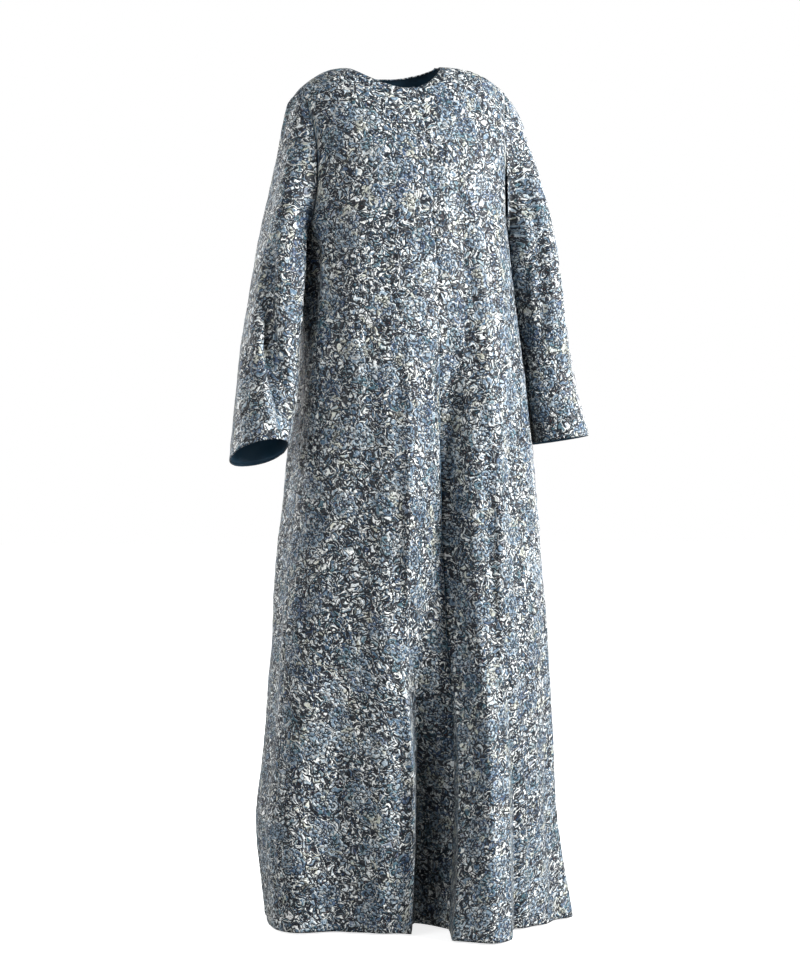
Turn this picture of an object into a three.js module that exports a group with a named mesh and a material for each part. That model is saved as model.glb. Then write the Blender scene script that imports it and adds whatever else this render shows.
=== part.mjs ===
// A floor-length kaftan gown with a full-length front opening, as it hangs when worn.
// Millimetres, +Z up. The origin is in the middle of the neck opening, level with the neck points.
// The front faces -Y, and +X is the wearer's left. Depths below the origin are called "down".

import * as THREE from "three";

// Cloth and seams.
const wall = 2;
const liningWall = 1;
const seamGap = 0.3;
const layerGap = 0.5;

// The front opening: how far each front runs past the centre line.
const topFrontPast = 12;
const underlapPast = -28;
const underlapEase = 33;

// The body: its straight part starts at the underarm and ends at the hem.
const underarmDown = 285;
const hemDown = 1508;
const sideY = -12;
const sectionPower = 2.3;

// The body's sections. right, middle, left, front and back are where the cloth is, and twist turns it.
const bodyRows = [
  { down: 285, right: -160, middle: 23, left: 206, front: -140, back: 108, twist: 0 },
  { down: 400, right: -164, middle: 26.5, left: 217, front: -146, back: 104, twist: 1.3 },
  { down: 560, right: -168, middle: 30, left: 241, front: -150, back: 108, twist: 2 },
  { down: 710, right: -184, middle: 28, left: 258, front: -150, back: 128, twist: 2.8 },
  { down: 960, right: -209, middle: 23, left: 275, front: -152, back: 158, twist: 5.4 },
  { down: 1200, right: -224, middle: 21, left: 291, front: -154, back: 186, twist: 8 },
  { down: 1340, right: -235, middle: 22, left: 302, front: -152, back: 202, twist: 7.5 },
  { down: 1508, right: -218, middle: 25, left: 330, front: -148, back: 222, twist: 4.3 },
];

// How far round the cloth, in degrees from the centre front, each side seam lies.
const sideSeamRows = [
  { down: 285, at: 90 },
  { down: 500, at: 85 },
  { down: 710, at: 82 },
  { down: 1508, at: 82 },
];

// Soft folds that start at one depth, are full from the next to the third, and are gone at the last.
// at, atHem and reach are degrees of cloth, and out is how far the fold stands out of the section.
const folds = [
  { at: -10.5, atHem: -4.5, reach: 7, out: 10, from: 400, full: 660, ease: 1508, gone: 1600 },
  { at: 4, atHem: 6, reach: 9, out: -26, from: 300, full: 620, ease: 1508, gone: 1600 },
  { at: 27, atHem: 27, reach: 8, out: 10, from: 400, full: 660, ease: 1508, gone: 1600 },
  { at: -76, atHem: -76, reach: 13, out: -16, from: 285, full: 335, ease: 360, gone: 520 },
  { at: -22, atHem: -22, reach: 16, out: -38, from: 650, full: 1508, ease: 1508, gone: 1600 },
  { at: -42, atHem: -42, reach: 30, out: -42, from: 650, full: 1508, ease: 1508, gone: 1600 },
  { at: 56, atHem: 56, reach: 18, out: -18, from: 650, full: 1508, ease: 1508, gone: 1600 },
  { at: 112, atHem: 112, reach: 12, out: 16, from: 420, full: 1350, ease: 1508, gone: 1600 },
  { at: 131, atHem: 131, reach: 12, out: -14, from: 420, full: 1350, ease: 1508, gone: 1600 },
  { at: 150, atHem: 150, reach: 12, out: 18, from: 380, full: 1300, ease: 1508, gone: 1600 },
  { at: 170, atHem: 170, reach: 12, out: -16, from: 380, full: 1300, ease: 1508, gone: 1600 },
  { at: 190, atHem: 190, reach: 12, out: 18, from: 360, full: 1250, ease: 1508, gone: 1600 },
  { at: 211, atHem: 211, reach: 12, out: -15, from: 420, full: 1350, ease: 1508, gone: 1600 },
  { at: 232, atHem: 232, reach: 12, out: 16, from: 420, full: 1350, ease: 1508, gone: 1600 },
];

// The deep fold of the left front, which swings forward beside the opening and grows to the hem.
const deepFold = {
  from: 950, growth: 1.5,
  rise: 0.6, risen: 2.2, fall: 18.5, fallen: 21.7,
  out: 106, crown: 24, sway: -46, swayFar: -28,
};

// The yoke: shoulders, armholes and neck. tip and neck are the ends of each shoulder seam.
const shoulders = {
  left: { tipX: 223, tipZ: -50, neckX: 85, neckZ: 4, power: 2.6 },
  right: { tipX: -189, tipZ: -70, neckX: -85, neckZ: -5, power: 2 },
};
const shoulderY = -6;
const frontRound = 2.2;
const backRound = 3;
const frontNeckTurn = 55.3;
const backNeckTurn = 70;
const armholeCurve = 0.09;

// The sleeves, ring by ring. reach runs down the sleeve, out is its outer side and in its inner side.
const sleeveRows = {
  left: [
    { reach: 0, outX: 223, outDown: 50, inX: 206, inDown: 285, y: -6, front: 66, back: 50, rise: 0 },
    { reach: 34, outX: 240, outDown: 80, inX: 210, inDown: 299, y: -5, front: 67, back: 56, rise: 0 },
    { reach: 110, outX: 262, outDown: 152, inX: 214, inDown: 318, y: -5, front: 68, back: 60, rise: 0 },
    { reach: 210, outX: 285, outDown: 250, inX: 219, inDown: 350, y: -6, front: 69, back: 63, rise: 0 },
    { reach: 297, outX: 301, outDown: 335, inX: 225, inDown: 400, y: -7, front: 69, back: 64, rise: 0 },
    { reach: 383, outX: 316, outDown: 420, inX: 232, inDown: 458, y: -8, front: 69, back: 65, rise: 0 },
    { reach: 464, outX: 331, outDown: 500, inX: 241, inDown: 525, y: -9, front: 69, back: 66, rise: 0 },
    { reach: 545, outX: 343, outDown: 580, inX: 250, inDown: 600, y: -10, front: 70, back: 67, rise: 2 },
    { reach: 617, outX: 361, outDown: 650, inX: 258, inDown: 664, y: -10, front: 72, back: 70, rise: 4 },
  ],
  right: [
    { reach: 0, outX: -189, outDown: 70, inX: -160, inDown: 285, y: -6, front: 66, back: 48, rise: 0 },
    { reach: 30, outX: -196, outDown: 98, inX: -164, inDown: 298, y: -7, front: 68, back: 54, rise: 0 },
    { reach: 99, outX: -209, outDown: 165, inX: -168, inDown: 315, y: -9, front: 69, back: 58, rise: 0 },
    { reach: 192, outX: -229, outDown: 255, inX: -170, inDown: 345, y: -14, front: 70, back: 60, rise: 0 },
    { reach: 279, outX: -247, outDown: 340, inX: -171.5, inDown: 395, y: -21, front: 70, back: 62, rise: 0 },
    { reach: 361, outX: -263, outDown: 420, inX: -174.5, inDown: 455, y: -29, front: 70, back: 63, rise: 0 },
    { reach: 447, outX: -279, outDown: 505, inX: -179, inDown: 530, y: -38, front: 70, back: 64, rise: 0 },
    { reach: 538, outX: -290, outDown: 595, inX: -187, inDown: 605, y: -49, front: 70, back: 66, rise: 10 },
    { reach: 632, outX: -303, outDown: 688, inX: -203, inDown: 677, y: -60, front: 72, back: 68, rise: 22 },
  ],
};
const sleevePower = 2.2;
const armholeFade = 160;
const cuffSetBack = 4;

// One long slanted trough down each sleeve. The angles run from the outer side, 0, past the front, 90.
const sleeveTroughs = {
  left: [{ reachFrom: 150, reachTo: 470, angleFrom: 80, angleTo: 122, width: 30, out: -9 }],
  right: [{ reachFrom: 330, reachTo: 600, angleFrom: 50, angleTo: 138, width: 30, out: -11 }],
};

// How the surface is divided: each run goes to a place in so many steps.
const bodyDepths = [{ to: 345, steps: 2 }, { to: hemDown, steps: 18 }];
const yokeSteps = 10;
const overlapColumns = [underlapPast, -14, 0, topFrontPast];
const frontRuns = {
  right: [{ to: -21, steps: 5 }, { to: -82, steps: 9 }],
  left: [
    { to: 2.9, steps: 1 },
    { to: 4.5, steps: 2 },
    { to: 20.8, steps: 5 },
    { to: 24, steps: 2 },
    { to: 34, steps: 3 },
    { to: 82, steps: 8 },
  ],
};
// Where a front's own columns start beside the overlap, reach the neck point and end at the side seam.
const frontPlaces = {
  right: { start: -5, neck: -21, seam: -82 },
  left: { start: 2.3, neck: 20.8, seam: 82 },
};
const backColumns = 28;
const sleeveColumns = 2 * yokeSteps;
const sleeveShares = [0, 0.02, 0.055, 0.11, 0.18, 0.27, 0.37, 0.47, 0.57, 0.67, 0.76, 0.85, 0.93];

const finishes = {
  jacquard: { color: 0x8393a2, roughness: 0.75, metalness: 0 },
  lining: { color: 0x1f3a4d, roughness: 0.5, metalness: 0 },
};

const degree = Math.PI / 180;
const mix = THREE.MathUtils.lerp;
const clamp = THREE.MathUtils.clamp;
const smooth = (value, low, high) => THREE.MathUtils.smoothstep(value, low, high);
const signedPower = (value, power) => Math.sign(value) * Math.abs(value) ** power;

// One column of a table at a place between its rows, on a smooth curve through them.
function along(table, place, column, at) {
  let i = 0;
  while (i < table.length - 2 && at > table[i + 1][place]) i += 1;
  const slope = (k) => {
    const low = table[Math.max(k - 1, 0)];
    const high = table[Math.min(k + 1, table.length - 1)];
    return (high[column] - low[column]) / (high[place] - low[place]);
  };
  const span = table[i + 1][place] - table[i][place];
  const t = clamp((at - table[i][place]) / span, 0, 1);
  const start = (1 + 2 * t) * (1 - t) ** 2 * table[i][column];
  const end = t * t * (3 - 2 * t) * table[i + 1][column];
  return start + end + span * t * (1 - t) * ((1 - t) * slope(i) - t * slope(i + 1));
}

function rowAt(table, place, at) {
  const columns = Object.keys(table[0]);
  return Object.fromEntries(columns.map((column) => [column, along(table, place, column, at)]));
}

// The places that a list of runs divides a length into.
function divided(start, runs) {
  const places = [start];
  for (const run of runs) {
    const first = places.at(-1);
    for (let k = 1; k <= run.steps; k += 1) places.push(mix(first, run.to, k / run.steps));
  }
  return places;
}

// A bump of height 1 that fades to nothing at its reach.
function bump(distance, reach) {
  return Math.abs(distance) < reach ? Math.cos((distance / reach) * 90 * degree) ** 2 : 0;
}

// How far the folds push the cloth outwards.
function foldAt(cloth, down) {
  let out = 0;
  for (const fold of folds) {
    const at = mix(fold.at, fold.atHem, smooth(down, fold.full, hemDown));
    const turn = ((cloth - at + 540) % 360) - 180;
    const grown = smooth(down, fold.from, fold.full) * (1 - smooth(down, fold.ease, fold.gone));
    out += fold.out * grown * bump(turn, fold.reach);
  }
  return out;
}

// A point of the body, so many degrees of cloth from the centre front, with the folds' outward push.
function bodyPoint(cloth, down) {
  const row = rowAt(bodyRows, "down", down);
  const turn = (cloth + row.twist) * degree;
  const across = Math.sin(turn);
  const ahead = Math.cos(turn);
  const half = across < 0 ? row.middle - row.right : row.left - row.middle;
  const depth = ahead > 0 ? row.front - sideY : row.back - sideY;
  const point = new THREE.Vector3(
    row.middle + half * signedPower(across, 2 / sectionPower),
    sideY + depth * Math.abs(ahead) ** (2 / sectionPower),
    -down,
  );
  const outward = new THREE.Vector3(
    signedPower(across, 2 - 2 / sectionPower) / half,
    Math.abs(ahead) ** (2 - 2 / sectionPower) / depth,
    0,
  ).normalize();
  return point.addScaledVector(outward, foldAt(cloth, down));
}

// The degrees of cloth at a distance past the centre line.
function clothPast(down, past) {
  const row = rowAt(bodyRows, "down", down);
  const half = row.left - row.middle;
  const centre = half * signedPower(Math.sin(row.twist * degree), 2 / sectionPower);
  const side = centre + past < 0 ? row.middle - row.right : half;
  return Math.asin(signedPower((centre + past) / side, sectionPower / 2)) / degree - row.twist;
}

// The deep fold's push on the left front, by the degrees past the free edge of the top front.
function deepFoldPush(past, down) {
  const grown = clamp((down - deepFold.from) / (hemDown - deepFold.from), 0, 1) ** deepFold.growth;
  const up = smooth(past, deepFold.rise, deepFold.risen);
  const away = smooth(past, deepFold.fall, deepFold.fallen);
  const over = clamp((past - deepFold.risen) / (deepFold.fall - deepFold.risen), 0, 1);
  const size = grown * up * (1 - away);
  const out = deepFold.out + deepFold.crown * Math.sin(over * 180 * degree);
  return new THREE.Vector3(mix(deepFold.sway, deepFold.swayFar, over) * size, -out * size, 0);
}

// The height of the shoulder line over a place across the body.
function shoulderZ(x) {
  const { left, right } = shoulders;
  if (x >= right.neckX && x <= left.neckX) {
    return mix(right.neckZ, left.neckZ, (x - right.neckX) / (left.neckX - right.neckX));
  }
  const side = x > 0 ? left : right;
  const share = (x - side.neckX) / (side.tipX - side.neckX);
  return mix(side.neckZ, side.tipZ, share ** side.power);
}

const neckShare = (across) => {
  const side = across < 0 ? shoulders.right : shoulders.left;
  return side.neckX / side.tipX;
};

// How far up the yoke's turn, from 0 at the underarm to 90 at the shoulder, the neckline lies.
function neckTurn(across, lowest) {
  const share = clamp(Math.abs(across) / neckShare(across), 0, 1);
  return 90 - (90 - lowest) * Math.sqrt(1 - share * share);
}

// A point of the yoke. across runs from -1 to 1 between the armholes, and turn up to the shoulders.
function yokePoint(across, turn, isFront) {
  const row = rowAt(bodyRows, "down", underarmDown);
  const up = Math.sin(turn * degree);
  const side = across < 0 ? shoulders.right : shoulders.left;
  const half = across < 0 ? row.middle - row.right : row.left - row.middle;
  const tip = Math.abs(side.tipX);
  const x = mix(row.middle, 0, up * up) + mix(half, tip, up * up) * across;
  const inset = (1 - Math.min(Math.abs(across), 1) ** sectionPower) ** (1 / sectionPower);
  const depth = (isFront ? row.front - sideY : row.back - sideY) * inset;
  const round = 2 / (isFront ? frontRound : backRound);
  const level = mix(sideY, shoulderY, up * up);
  const y = level + depth * Math.max(Math.cos(turn * degree), 0) ** round;
  return new THREE.Vector3(x, y, mix(-underarmDown, shoulderZ(x), up ** round));
}

// Draws the columns of the yoke in towards the middle, as the armhole's curve does.
function drawnIn(across, rise) {
  const curve = armholeCurve * Math.sqrt(Math.max(Math.sin(rise * 180 * degree), 0));
  return across * (1 - curve * Math.abs(across) ** 3);
}

// The body's rows from the shoulders down. rise is above 0 in the yoke only.
function bodyLevels() {
  const levels = [];
  for (let k = yokeSteps; k > 0; k -= 1) levels.push({ rise: k / yokeSteps, down: underarmDown });
  for (const down of divided(underarmDown, bodyDepths)) levels.push({ rise: 0, down });
  return levels;
}

// A column runs from its place on the neckline or shoulder to its place on the hem.
function columnPoint(column, level, isFront) {
  const cloth = column.cloth(level.down);
  if (level.rise === 0) return bodyPoint(cloth, level.down);
  const low = signedPower(Math.sin(cloth * degree), 2 / sectionPower);
  const across = drawnIn(mix(low, column.top, level.rise), level.rise);
  const atNeck = Math.abs(column.top) < Math.abs(neckShare(column.top));
  const lowest = isFront ? frontNeckTurn : backNeckTurn;
  const turn = atNeck ? neckTurn(column.top, lowest) : 90;
  return yokePoint(across, turn * level.rise, isFront);
}

const sideSeamAt = (down) => along(sideSeamRows, "down", "at", down);

// Where a front's column meets the neckline or the shoulder. share runs from the overlap to the seam.
function frontTop(share, neckAt, side, edge) {
  const neck = neckShare(side);
  if (share >= neckAt) return side * mix(neck, 1, (share - neckAt) / (1 - neckAt));
  const start = Math.asin((side * edge) / neck);
  return side * neck * Math.sin(mix(start, 90 * degree, share / neckAt));
}

// The columns that both fronts share where they overlap.
function overlapColumn(past) {
  const side = past < 0 ? shoulders.right : shoulders.left;
  const row = rowAt(bodyRows, "down", underarmDown);
  const half = mix(row.left - row.middle, Math.abs(side.tipX), Math.sin(frontNeckTurn * degree) ** 2);
  return { top: past / half, cloth: (down) => clothPast(down, past) };
}

// The columns of a front from the overlap to its side seam.
function frontColumns(name) {
  const places = frontPlaces[name];
  const side = Math.sign(places.seam);
  const edgePast = side > 0 ? topFrontPast : underlapPast;
  const edge = overlapColumn(edgePast);
  const length = places.seam - places.start;
  return divided(places.start, frontRuns[name]).slice(1).map((place) => {
    const share = (place - places.start) / length;
    const top = frontTop(share, (places.neck - places.start) / length, side, edge.top);
    return { top, cloth: (down) => mix(clothPast(down, edgePast), side * sideSeamAt(down), share) };
  });
}

const onShoulder = (column) => Math.abs(column.top) >= Math.abs(neckShare(column.top)) - 1e-9;

const rightFrontLayout = () => [...frontColumns("right").reverse(), ...overlapColumns.map(overlapColumn)];
const leftFrontLayout = () => [...overlapColumns.map(overlapColumn), ...frontColumns("left")];

// The back's columns: the two shoulders' points are those of the fronts, with the neck between them.
function backLayout() {
  const leftTops = leftFrontLayout().filter(onShoulder).map((column) => column.top).reverse();
  const rightTops = rightFrontLayout().filter(onShoulder).map((column) => column.top).reverse();
  const neckSteps = backColumns - leftTops.length - rightTops.length + 2;
  const neckTops = [];
  for (let k = 1; k < neckSteps; k += 1) {
    const turn = Math.cos((k / neckSteps) * 180 * degree);
    neckTops.push(turn * Math.abs(neckShare(turn)));
  }
  const tops = [...leftTops, ...neckTops, ...rightTops];
  return tops.map((top, k) => {
    const share = k / (tops.length - 1);
    return { top, cloth: (down) => mix(sideSeamAt(down), 360 - sideSeamAt(down), share) };
  });
}

// The armhole's edge, by the sleeve's own angle: 0 at the shoulder's tip, 180 at the underarm.
function armholePoint(side, angle) {
  const isFront = angle <= 180;
  const rise = isFront ? 1 - angle / 180 : (angle - 180) / 180;
  const across = (side === "left" ? 1 : -1) * (1 - armholeCurve * Math.sqrt(Math.sin(rise * 180 * degree)));
  return yokePoint(across, 90 * rise, isFront);
}

function ringPoint(side, angle, reach) {
  const row = rowAt(sleeveRows[side], "reach", reach);
  const outer = signedPower(Math.cos(angle * degree), 2 / sleevePower);
  const fore = signedPower(Math.sin(angle * degree), 2 / sleevePower);
  const depth = fore > 0 ? row.front : row.back;
  return new THREE.Vector3(
    (row.outX + row.inX) / 2 + ((row.outX - row.inX) / 2) * outer,
    row.y - depth * fore,
    -(row.outDown + row.inDown) / 2 - ((row.outDown - row.inDown) / 2) * outer + row.rise * fore,
  );
}

// A point of a sleeve: the ring, drawn to the armhole near its top, with the trough pressed in.
function sleevePoint(side, angle, reach) {
  const point = ringPoint(side, angle, reach);
  const pull = armholePoint(side, angle).sub(ringPoint(side, angle, 0));
  point.addScaledVector(pull, 1 - smooth(reach, 0, armholeFade));
  const row = rowAt(sleeveRows[side], "reach", reach);
  const centre = new THREE.Vector3((row.outX + row.inX) / 2, row.y, point.z);
  const outward = point.clone().sub(centre).normalize();
  for (const trough of sleeveTroughs[side]) {
    const share = (reach - trough.reachFrom) / (trough.reachTo - trough.reachFrom);
    const at = mix(trough.angleFrom, trough.angleTo, share);
    point.addScaledVector(outward, trough.out * bump(share - 0.5, 0.5) * bump(angle - at, trough.width));
  }
  return point;
}

// A panel is a grid of points on the cloth's outer face. inset moves its layer inwards there.
function bodyPanel(name, layout, isFront, adjust = () => {}) {
  const grid = bodyLevels().map((level) => layout.map((column) => {
    const spot = { base: columnPoint(column, level, isFront), inset: 0 };
    adjust(spot, column, level);
    return spot;
  }));
  return { name, grid, closed: false, flip: false, thick: wall, finish: finishes.jacquard };
}

// The underlap lies one layer in, and comes level with the top front past its free edge.
function layUnder(spot, column, level) {
  const cloth = column.cloth(level.down);
  const edge = clothPast(level.down, topFrontPast);
  const eased = clothPast(level.down, topFrontPast + underlapEase);
  spot.inset = (wall + layerGap) * (1 - smooth(cloth, edge, eased));
  if (level.rise === 0) spot.base.add(deepFoldPush(cloth - edge, level.down));
}

function columnSeam(grid, column, from, to) {
  return grid.slice(from, to + 1).map((row, k) => [from + k, column]);
}

function rowSeam(columns) {
  return columns.map((column) => [0, column]);
}

function makeFront(name, layout, outerColumn, adjust) {
  const panel = bodyPanel(name, layout, true, adjust);
  const last = panel.grid.length - 1;
  const shoulderColumns = layout.map((column, k) => (onShoulder(column) ? k : -1)).filter((k) => k >= 0);
  panel.seams = [
    columnSeam(panel.grid, outerColumn, 0, yokeSteps),
    columnSeam(panel.grid, outerColumn, yokeSteps, last),
    rowSeam(shoulderColumns),
  ];
  return panel;
}

function makeBack() {
  const layout = backLayout();
  const panel = bodyPanel("back", layout, false);
  const last = panel.grid.length - 1;
  const shoulderColumns = layout.map((column, k) => (onShoulder(column) ? k : -1)).filter((k) => k >= 0);
  const leftCount = leftFrontLayout().filter(onShoulder).length;
  panel.seams = [
    columnSeam(panel.grid, 0, 0, yokeSteps),
    columnSeam(panel.grid, 0, yokeSteps, last),
    columnSeam(panel.grid, layout.length - 1, 0, yokeSteps),
    columnSeam(panel.grid, layout.length - 1, yokeSteps, last),
    rowSeam(shoulderColumns.slice(0, leftCount)),
    rowSeam(shoulderColumns.slice(leftCount)),
  ];
  return panel;
}

function makeSleeve(side) {
  const length = sleeveRows[side].at(-1).reach;
  const reaches = [...sleeveShares.map((share) => share * length), length - cuffSetBack, length];
  const grid = reaches.map((reach) => Array.from({ length: sleeveColumns }, (_, k) => (
    { base: sleevePoint(side, (k * 360) / sleeveColumns, reach), inset: 0 }
  )));
  const flip = side === "left";
  const seams = [rowSeam(Array.from({ length: sleeveColumns }, (_, k) => k))];
  return { name: `${side}_sleeve`, grid, closed: true, flip, thick: wall, finish: finishes.jacquard, seams };
}

// The lining is the lower end of the sleeve, one layer in, and stops just above the cuff's edge.
function makeLining(sleeve) {
  const rows = sleeve.grid.slice(-4, -1);
  const grid = rows.map((row) => row.map((spot) => ({ base: spot.base, inset: wall + layerGap })));
  const name = `${sleeve.name}_lining`;
  return { ...sleeve, name, grid, thick: liningWall, finish: finishes.lining, seams: [] };
}

const keyOf = (point) => point.toArray().map((value) => Math.round(value * 1000)).join(",");

// The corners of each square of a panel, from the upper left round the outside.
function squares(panel) {
  const found = [];
  const width = panel.grid[0].length;
  for (let r = 0; r < panel.grid.length - 1; r += 1) {
    for (let c = 0; c < (panel.closed ? width : width - 1); c += 1) {
      const next = (c + 1) % width;
      const ring = [[r, c], [r + 1, c], [r + 1, next], [r, next]];
      found.push(panel.flip ? ring.toReversed() : ring);
    }
  }
  return found;
}

// Adds each panel's faces to the normals of the points that they meet at, across the seams too.
function gatherNormals(panels) {
  const normals = new Map();
  for (const panel of panels) {
    for (const ring of squares(panel)) {
      const [a, b, c, d] = ring.map(([r, k]) => panel.grid[r][k].base);
      const facing = c.clone().sub(a).cross(d.clone().sub(b));
      for (const point of [a, b, c, d]) {
        const key = keyOf(point);
        normals.set(key, (normals.get(key) ?? new THREE.Vector3()).add(facing));
      }
    }
  }
  for (const normal of normals.values()) normal.normalize();
  return normals;
}

// Moves a point of a seam into its own panel by half of the seam's gap.
function seamShift(panel, normals, r, c) {
  const shift = new THREE.Vector3();
  const width = panel.grid[0].length;
  const spot = panel.grid[r][c].base;
  const normal = normals.get(keyOf(spot));
  for (const seam of panel.seams) {
    const placeOf = (row, column) => seam.findIndex(([r2, c2]) => r2 === row && c2 === column);
    const place = placeOf(r, c);
    if (place < 0) continue;
    const inwards = new THREE.Vector3();
    for (const [row, column] of [[r - 1, c], [r + 1, c], [r, c - 1], [r, c + 1]]) {
      const near = placeOf(row, column) < 0 ? panel.grid[row]?.[column] : undefined;
      if (near) inwards.add(near.base).sub(spot);
    }
    const wrap = (k) => (panel.closed ? (k + seam.length) % seam.length : clamp(k, 0, seam.length - 1));
    const before = seam[wrap(place - 1)];
    const after = seam[wrap(place + 1)];
    const tangent = panel.grid[after[0]][after[1]].base.clone().sub(panel.grid[before[0]][before[1]].base);
    const away = normal.clone().cross(tangent).normalize();
    shift.addScaledVector(away, (Math.sign(away.dot(inwards)) * seamGap) / 2);
  }
  return shift;
}

// Gives a panel its thickness: an outer face, an inner face and a rim along each free edge.
function solidOf(panel, normals) {
  const width = panel.grid[0].length;
  const count = panel.grid.length * width;
  const positions = new Float32Array(count * 6);
  panel.grid.forEach((row, r) => row.forEach((spot, c) => {
    const normal = normals.get(keyOf(spot.base));
    const outer = spot.base.clone().addScaledVector(normal, -spot.inset).add(seamShift(panel, normals, r, c));
    const inner = outer.clone().addScaledVector(normal, -panel.thick);
    outer.toArray(positions, (r * width + c) * 3);
    inner.toArray(positions, (count + r * width + c) * 3);
  }));
  const index = [];
  const edges = new Map();
  for (const ring of squares(panel)) {
    const [a, b, c, d] = ring.map(([r, k]) => r * width + k);
    index.push(a, b, c, a, c, d);
    index.push(count + a, count + c, count + b, count + a, count + d, count + c);
    for (const [from, to] of [[a, b], [b, c], [c, d], [d, a]]) {
      if (!edges.delete(`${to},${from}`)) edges.set(`${from},${to}`, [from, to]);
    }
  }
  for (const [from, to] of edges.values()) {
    index.push(to, from, count + from, to, count + from, count + to);
  }
  const geometry = new THREE.BufferGeometry();
  geometry.setAttribute("position", new THREE.BufferAttribute(positions, 3));
  geometry.setIndex(index);
  geometry.computeVertexNormals();
  return geometry;
}

function makeGown() {
  const rightLayout = rightFrontLayout();
  const leftLayout = leftFrontLayout();
  const panels = [
    makeFront("right_front", rightLayout, 0),
    makeFront("left_front", leftLayout, leftLayout.length - 1, layUnder),
    makeBack(),
    makeSleeve("right"),
    makeSleeve("left"),
  ];
  const normals = gatherNormals(panels);
  const linings = panels.slice(-2).map(makeLining);
  const gown = new THREE.Group();
  for (const panel of [...panels, ...linings]) {
    const mesh = new THREE.Mesh(solidOf(panel, normals), new THREE.MeshStandardMaterial(panel.finish));
    mesh.name = panel.name;
    gown.add(mesh);
  }
  return gown;
}

export default makeGown();
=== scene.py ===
import math
from functools import lru_cache

import bmesh
import bpy
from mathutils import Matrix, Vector, noise


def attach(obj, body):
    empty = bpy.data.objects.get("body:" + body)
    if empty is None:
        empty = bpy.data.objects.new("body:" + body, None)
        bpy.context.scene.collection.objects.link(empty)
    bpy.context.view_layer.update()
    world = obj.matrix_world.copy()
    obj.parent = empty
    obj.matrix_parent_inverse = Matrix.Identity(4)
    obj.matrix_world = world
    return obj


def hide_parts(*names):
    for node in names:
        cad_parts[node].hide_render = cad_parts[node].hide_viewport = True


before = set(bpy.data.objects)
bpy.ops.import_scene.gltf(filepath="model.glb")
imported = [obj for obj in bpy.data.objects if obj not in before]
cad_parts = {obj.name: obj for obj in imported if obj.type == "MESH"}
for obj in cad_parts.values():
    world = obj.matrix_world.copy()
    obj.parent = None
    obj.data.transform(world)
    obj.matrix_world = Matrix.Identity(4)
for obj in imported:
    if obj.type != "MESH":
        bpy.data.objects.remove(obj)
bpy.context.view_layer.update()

# The gown's form, in millimetres. Points are turned into metres as they go into a mesh.
mm = 0.001
degree = math.pi / 180

gown = {
    "wall": 2.0,
    "layerGap": 0.5,
    "topFrontPast": 12.0,
    "underlapPast": -28.0,
    "underlapEase": 33.0,
    "underarmDown": 285.0,
    "hemDown": 1508.0,
    "sideY": -12.0,
    "sectionPower": 2.3,
    "seamFade": 34.0,
    "bumpLength": 17.0,
    "bumpOut": 0.9,
    "seamDepth": 1.2,
    "seamWidth": 2.6,
    "edgeDepth": 0.9,
}

bodyColumns = ("down", "right", "middle", "left", "front", "back", "twist")
bodyRows = [
    (285, -160, 23, 206, -140, 108, 0),
    (400, -164, 26.5, 217, -146, 104, 1.3),
    (560, -168, 30, 241, -150, 108, 2),
    (710, -184, 28, 258, -150, 128, 2.8),
    (960, -209, 23, 275, -152, 158, 5.4),
    (1200, -224, 21, 291, -154, 186, 8),
    (1340, -235, 22, 302, -152, 202, 7.5),
    (1508, -218, 25, 330, -148, 222, 4.3),
]
sideSeamRows = [(285, 90), (500, 85), (710, 82), (1508, 82)]

# The skirt's wide folds: where round the cloth, how wide, how far out, and over which depths.
foldColumns = ("at", "atHem", "reach", "out", "start", "full", "ease", "gone")
foldRows = [
    (-10.5, -4.5, 7, 10, 400, 660, 1508, 1600),
    (4, 6, 9, -26, 300, 620, 1508, 1600),
    (27, 27, 8, 10, 400, 660, 1508, 1600),
    (-76, -76, 13, -16, 285, 335, 360, 520),
    (-22, -22, 16, -38, 650, 1508, 1508, 1600),
    (-42, -42, 30, -42, 650, 1508, 1508, 1600),
    (56, 56, 18, -18, 650, 1508, 1508, 1600),
    (112, 112, 12, 16, 420, 1350, 1508, 1600),
    (131, 131, 12, -14, 420, 1350, 1508, 1600),
    (150, 150, 12, 18, 380, 1300, 1508, 1600),
    (170, 170, 12, -16, 380, 1300, 1508, 1600),
    (190, 190, 12, 18, 360, 1250, 1508, 1600),
    (211, 211, 12, -15, 420, 1350, 1508, 1600),
    (232, 232, 12, 16, 420, 1350, 1508, 1600),
]
deepFold = {
    "start": 950, "growth": 1.5,
    "rise": 0.6, "risen": 2.2, "fall": 18.5, "fallen": 21.7,
    "out": 106, "crown": 24, "sway": -36, "swayFar": -24,
    "lip": 4, "lipStart": 430,
}
shoulders = {
    "left": {"tipX": 223, "tipZ": -50, "neckX": 85, "neckZ": 4, "power": 2.6},
    "right": {"tipX": -189, "tipZ": -70, "neckX": -85, "neckZ": -5, "power": 2},
}
yoke = {
    "shoulderY": -6, "frontRound": 2.2, "backRound": 3,
    "frontNeckTurn": 55.3, "backNeckTurn": 70, "armholeCurve": 0.09,
}
sleeveColumns = ("reach", "outX", "outDown", "inX", "inDown", "y", "front", "back", "rise")
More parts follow.
